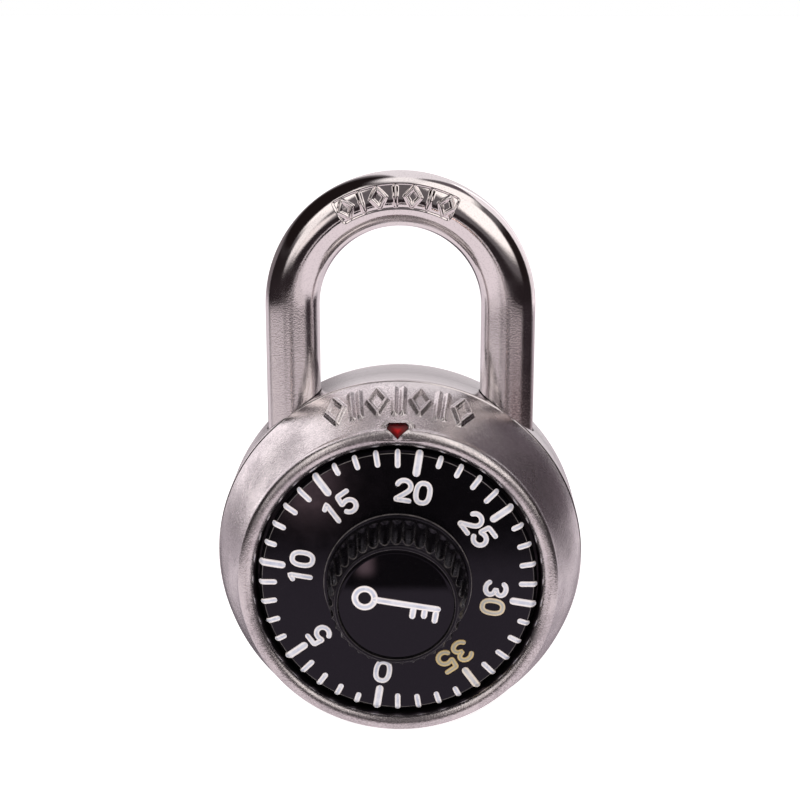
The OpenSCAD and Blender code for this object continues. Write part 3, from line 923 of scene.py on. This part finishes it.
def make_emblem():
    """A plain key: its ring, its shaft and three teeth, as raised white strokes."""
    tilt = math.radians(9)
    ring = arc((-3.9, 0), 1.2, 0, 360, 32)[:-1]
    strokes = [(ring, 0.42, True), (dense([(-2.5, 0), (5.1, 0)], 0.3), 0.42, False)]
    for x, h in ((2.2, 1.35), (3.6, 1.1), (5.0, 1.5)):
        strokes.append((dense([(x, -0.55), (x, -h)], 0.2), 0.4, False))
    verts, faces, uvs = [], [], []
    for path, half, closed in strokes:
        points, quads, across = ribbon(path, half, closed, FILL)
        base = len(verts)
        for (u, v, height), t in zip(points, across):
            x = u * math.cos(tilt) + v * math.sin(tilt)
            z = v * math.cos(tilt) - u * math.sin(tilt)
            verts.append((x, float(cap_height(math.hypot(x, z + 0.25))) - height, z + 0.25))
            uvs.append((t, 0))
        faces += [[base + i for i in f] for f in quads]
    return add_mesh("knob_emblem", verts, faces, 60, uvs)


dress(make_emblem(), WHITE, "dial")


# ------------------------ shackle
TOE_Z = 10.6
NOTCH = (14.6, 17.2, 1.0)           # the toe's notch: from, to and depth
NECK = (-3.9, 8.9, 2.4)             # the heel's neck: from, to and radius
ROD_SHARP_DEG = 60
PANEL_DEG = 31                      # half the stamped panel's reach round the bow
PANEL_SHIFT = math.radians(-2)      # from the bow's top to the panel's middle; minus is towards the heel
PANEL_TURN = math.radians(12)       # how far the panel is turned from straight ahead to the outside
PANEL_HALF = 1.65                   # half its width round the rod
PANEL_SUNK = 0.2
STAMP_COUNT = 7
STAMP_RISE = 0.3
STAMP_H, STAMP_W = 1.25, 0.85       # half a lozenge's height and width
STAMP_RIDGE_W = 0.4
SIDES_DEG = np.concatenate([np.arange(-18, 42, 0.75), np.arange(42, 342, 3.0)])  # finer over the panel
OFF_BOW = 99                        # stands for a place on a leg, where there is no panel


def rod_path():
    """Centre points, outward directions, radii and places along the panel, from the heel to the toe."""
    heel = [(HEEL_Z, ROD_R - 0.8), (HEEL_Z + 0.15, ROD_R - 0.55), (HEEL_Z + 0.45, ROD_R - 0.18),
            (HEEL_Z + 0.8, ROD_R), (NECK[0] - 0.6, ROD_R), (NECK[0], NECK[2]), (NECK[1], NECK[2]),
            (NECK[1] + 0.6, ROD_R)]
    heel += [(z, ROD_R) for z in np.linspace(NECK[1] + 1.5, BOW_Z - 1, 14)]
    rings = [((-LEG_X, z), (-1, 0), r, OFF_BOW) for z, r in heel]
    low, high = -PANEL_DEG - 3, PANEL_DEG + 6
    before, over = np.arange(90, high, -3), np.arange(high, low, -0.25)
    after = np.arange(low, -90.01, -3)
    for a in np.radians(np.concatenate([before, over, after])):
        n = (-math.sin(a), math.cos(a))
        centre = (LEG_X * n[0], BOW_Z + LEG_X * n[1])
        rings.append((centre, n, ROD_R, (-a - PANEL_SHIFT) * LEG_X))
    toe = [(z, ROD_R) for z in np.linspace(BOW_Z - 1, TOE_Z + 2, 16)]
    toe += [(TOE_Z + 1.0, ROD_R), (TOE_Z + 0.5, ROD_R - 0.28), (TOE_Z + 0.15, ROD_R - 0.72),
            (TOE_Z, ROD_R - 1.05)]
    rings += [((LEG_X, z), (1, 0), r, OFF_BOW) for z, r in toe]
    return [np.array(column, float) for column in zip(*rings)]


def panel_height(along, around):
    """The stamped panel on the bow: a sunk field with lozenges and bars standing in it."""
    half_length = math.radians(PANEL_DEG) * LEG_X - 0.2
    outside = past_corner(np.abs(along) - half_length, np.abs(around) - PANEL_HALF, 0.4)
    sunk = -PANEL_SUNK * (1 - smooth_step(-0.18, 0.08, outside))
    raised = np.zeros_like(sunk)
    pitch = 2 * (half_length - 1.1) / (STAMP_COUNT - 1)
    h, w = STAMP_H, STAMP_W
    for i in range(STAMP_COUNT):
        x = along - (i - (STAMP_COUNT - 1) / 2) * pitch
        if i % 2:
            points = [(0, -h), (0, h)]
        else:
            points = [(-w, 0), (0, h), (w, 0), (0, -h), (-w, 0)]
        raised = np.maximum(raised, ridge(polyline_distance(x, around, points), STAMP_RIDGE_W))
    return sunk + STAMP_RISE * raised * (outside < 0)


def make_shackle():
    """The shackle's bent rod, with its stamped panel, heel neck and toe notch."""
    centre, outward, radius, arc_at = rod_path()
    turn = np.radians(SIDES_DEG)
    sides = len(turn)
    # turn 0 faces the front, and a quarter turn faces outwards
    front, out = np.cos(turn), np.sin(turn)
    around = ((turn - PANEL_TURN + math.pi) % (2 * math.pi) - math.pi) * ROD_R
    along, around = np.broadcast_arrays(arc_at[:, None], around[None, :])
    r = radius[:, None] + panel_height(along, around) * (along < OFF_BOW / 2)
    x = centre[:, None, 0] + r * out * outward[:, None, 0]
    z = centre[:, None, 1] + r * out * outward[:, None, 1]
    y = ROD_Y - r * front
    verts = list(np.stack([x, y, z], -1).reshape(-1, 3))
    rows = len(centre)
    faces = [list(f) for f in grid_faces(rows, sides, False, True)]
    faces += [list(range(sides)), list(range((rows - 1) * sides, rows * sides))]
    made = add_mesh("shackle_rod", verts, faces, ROD_SHARP_DEG)
    edge = LEG_X - ROD_R
    z0, z1, depth = NOTCH
    wedge = [(edge - 1, TOE_Z - 1), (edge - 0.25, TOE_Z - 1), (edge + depth, z0), (edge + depth, z1),
             (edge, z1 + 0.4), (edge - 1, z1 + 0.4)]
    tool = prism("notch", wedge, lambda u, v, w: (u, w, v), ROD_Y - ROD_R - 1, ROD_Y + ROD_R + 1)
    cut(made, tool, ROD_SHARP_DEG)
    return made


rod = dress(make_shackle(), NICKEL, "shackle", "shackle")


# ------------------------ the pieces inside
INSIDE = {
    ZINC: ["inner_case", "center_post", "lever_pin", "heel_pin", "latch_guide", "spindle"],
    BRASS: ["thrust_washer", "front_spacer", "rear_spacer", "end_washer", "drive_wheel", "middle_wheel",
            "rear_wheel"],
    SPRING: ["wave_spring", "lever_spring", "latch_spring"],
    STAMPED: ["locking_lever", "latch_bolt"],
}
for mat, names in INSIDE.items():
    for name in names:
        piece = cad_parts[name]
        for slot in piece.material_slots:
            slot.material = mat


# ------------------------ camera, floor and light
CAMERA_AZ, CAMERA_EL = 1.4, 15.6
CAMERA_DISTANCE = 0.2
CAMERA_TARGET = Vector((0.00006, -0.0094, 0.0214))
LENS = 70.0


def make_camera():
    """The camera, at the angle that the padlock is seen from."""
    a, e = math.radians(CAMERA_AZ), math.radians(CAMERA_EL)
    back = Vector((math.sin(a) * math.cos(e), -math.cos(a) * math.cos(e), math.sin(e)))
    data = bpy.data.cameras.new("camera")
    data.lens = LENS
    data.clip_start = 0.01
    data.clip_end = 20
    camera = bpy.data.objects.new("camera", data)
    camera.location = CAMERA_TARGET + back * CAMERA_DISTANCE
    camera.rotation_mode = "QUATERNION"
    camera.rotation_quaternion = (-back).to_track_quat("-Z", "Y")
    bpy.context.scene.collection.objects.link(camera)
    bpy.context.scene.camera = camera


def make_floor():
    """A plain white floor that the case stands on. Reflections show the studio instead."""
    size = 3000
    z = case_low[2]
    floor = add_mesh("floor", [(-size, -size, z), (size, -size, z), (size, size, z), (-size, size, z)],
                     [[0, 1, 2, 3]])
    mat, shader = material("floor_white", (0.9, 0.9, 0.9), 0.0, 0.9, Specular_IOR_Level=0.0)
    shader.inputs["Emission Color"].default_value = (1, 1, 1, 1)
    shader.inputs["Emission Strength"].default_value = 0.75
    floor.data.materials.append(mat)
    floor.visible_glossy = False
    floor.visible_shadow = False


def area_light(name, at, towards, size, power, colour=(1, 1, 1), mirrored=True, only=None):
    """A soft light. Unmirrored, it doesn't show in reflections; only lists the pieces that it lights."""
    data = bpy.data.lights.new(name, "AREA")
    data.shape = "RECTANGLE"
    data.size, data.size_y = size[0] * MM, size[1] * MM
    data.energy = power
    data.color = colour
    light = bpy.data.objects.new(name, data)
    light.location = Vector(at) * MM
    light.rotation_mode = "QUATERNION"
    light.rotation_quaternion = (Vector(towards) - Vector(at)).to_track_quat("-Z", "Y")
    light.visible_glossy = mirrored
    bpy.context.scene.collection.objects.link(light)
    if only:
        lit = bpy.data.collections.new(name + "_lit")
        for piece in only:
            lit.objects.link(piece)
        light.light_linking.receiver_collection = lit
    return light


# What the studio looks like from the padlock: soft-edged panels, each laid over the ones before.
# Azimuth 0 is towards the camera and 90 is to the right. Each panel is, in degrees,
# (azimuth, half width, side edge, elevation, half height, top edge, colour).
PANELS = [
    (0, 181, 4, 45, 60, 4, (0.13, 0.115, 0.12)),        # the room, above the horizon
    (171, 24, 5, 25, 60, 7, (0.84, 0.79, 0.81)),        # the white backdrop, behind
    (-140, 26, 6, -2, 13, 6, (0.20, 0.17, 0.18)),       # its shaded lower left corner
    (131, 14, 5, 22, 38, 6, (0.12, 0.095, 0.11)),       # its shaded right end
    (-112, 44, 5, 43, 29, 5, (0.012, 0.008, 0.008)),    # an unlit wall on the left
    (-86, 32, 4, 2, 14, 5, (0.018, 0.013, 0.014)),      # its foot
    (-50, 17, 5, 46, 20, 6, (1.2, 1.12, 1.08)),         # a window on the left
    (-44, 12, 5, 20, 14, 6, (1.0, 0.93, 0.91)),         # its lower half
    (-26, 9, 4, 9, 8, 4, (0.95, 0.86, 0.84)),           # its sill
    (50, 29, 5, 45, 32, 6, (1.2, 1.12, 1.08)),          # a lamp on the right
    (80, 36, 5, 64, 16, 5, (1.15, 1.08, 1.05)),         # the lamp's arm
    (94, 20, 5, 8, 24, 6, (0.015, 0.01, 0.01)),         # the gap beyond it
    (0, 181, 6, 90, 13, 6, (1.0, 0.95, 0.94)),          # the ceiling
    (0, 106, 3, -7, 9, 3, (0.022, 0.016, 0.018)),       # the far edge of the room
    (0, 181, 2, -60, 42, 2, (0.80, 0.71, 0.74)),        # the white table
    (180, 62, 4, -25, 16, 4, (0.72, 0.64, 0.68)),       # its back, that rises to the backdrop
    (-160, 12, 5, -27, 11, 5, (0.04, 0.034, 0.045)),    # the padlock's shadow on it
    (161, 9, 5, -30, 7, 4, (0.20, 0.16, 0.19)),         # and a fainter one
    (18, 46, 10, -15.0, 2.4, 1.0, (0.76, 0.67, 0.69)),  # things along its far side
    (96, 34, 12, -15, 5, 3, (0.04, 0.03, 0.035)),       # a dark one on the right
    (-70, 40, 12, -14.8, 3, 1.2, (0.70, 0.62, 0.64)),   # and a light one on the left
    (-1.5, 8, 1, -18, 3.3, 0.5, (0.02, 0.015, 0.018)),  # the camera's own dark shape
    (-4.9, 0.8, 0.7, -18.6, 1.1, 0.7, (3.4, 2.5, 2.25)),    # a glint beside it
]


def make_world():
    """White to the eye, and the studio's panels to reflections."""
    world = bpy.data.worlds.new("studio")
    world.use_nodes = True
    bpy.context.scene.world = world
    world.node_tree.nodes.clear()

    def within(value, half, edge):
        """1 where value is less than half, fading to 0 over the edge."""
        made = node(world, "ShaderNodeMapRange", {0: value, 1: half + edge, 2: half - edge},
                    interpolation_type="SMOOTHSTEP")
        return made.outputs[0]

    place = node(world, "ShaderNodeTexCoord").outputs["Generated"]
    x, y, z = node(world, "ShaderNodeSeparateXYZ", {0: place}).outputs
    azimuth = maths(world, "DEGREES", maths(world, "ARCTAN2", x, maths(world, "MULTIPLY", y, -1.0)))
    elevation = maths(world, "DEGREES", maths(world, "ARCSINE", z))
    seen = (0.02, 0.016, 0.018)     # where there is no panel
    for az, half_width, side_edge, el, half_height, top_edge, colour in PANELS:
        turn = maths(world, "WRAP", maths(world, "SUBTRACT", azimuth, az), 180.0, -180.0)
        aside = within(maths(world, "ABSOLUTE", turn), half_width, side_edge)
        rise = maths(world, "SUBTRACT", elevation, el)
        above = within(maths(world, "ABSOLUTE", rise), half_height, top_edge)
        mask = maths(world, "MULTIPLY", aside, above)
        seen = mixed(world, mask, seen, colour)
    eye = node(world, "ShaderNodeLightPath").outputs["Is Camera Ray"]
    background = node(world, "ShaderNodeBackground", {"Color": mixed(world, eye, seen, (1.0, 1.0, 1.0))})
    out = node(world, "ShaderNodeOutputWorld")
    link(world, background.outputs[0], out.inputs["Surface"])


def make_lights():
    """A soft fill from the front, and a light each for the case and the shackle."""
    middle = (0, -10, 5)
    area_light("front_fill", (-90, -220, 160), middle, (180, 180), 0.31, mirrored=False)
    area_light("case_light", (-138, 140, 129), middle, (180, 349), 0.24, (1.0, 0.93, 0.95), only=[shell])
    area_light("rod_light", (167, 143, 104), (0, -13, 30), (138, 255), 0.09, (1.0, 0.94, 0.95), only=[rod])


make_camera()
make_floor()
make_world()
make_lights()
bpy.context.scene.view_settings.view_transform = "Standard"
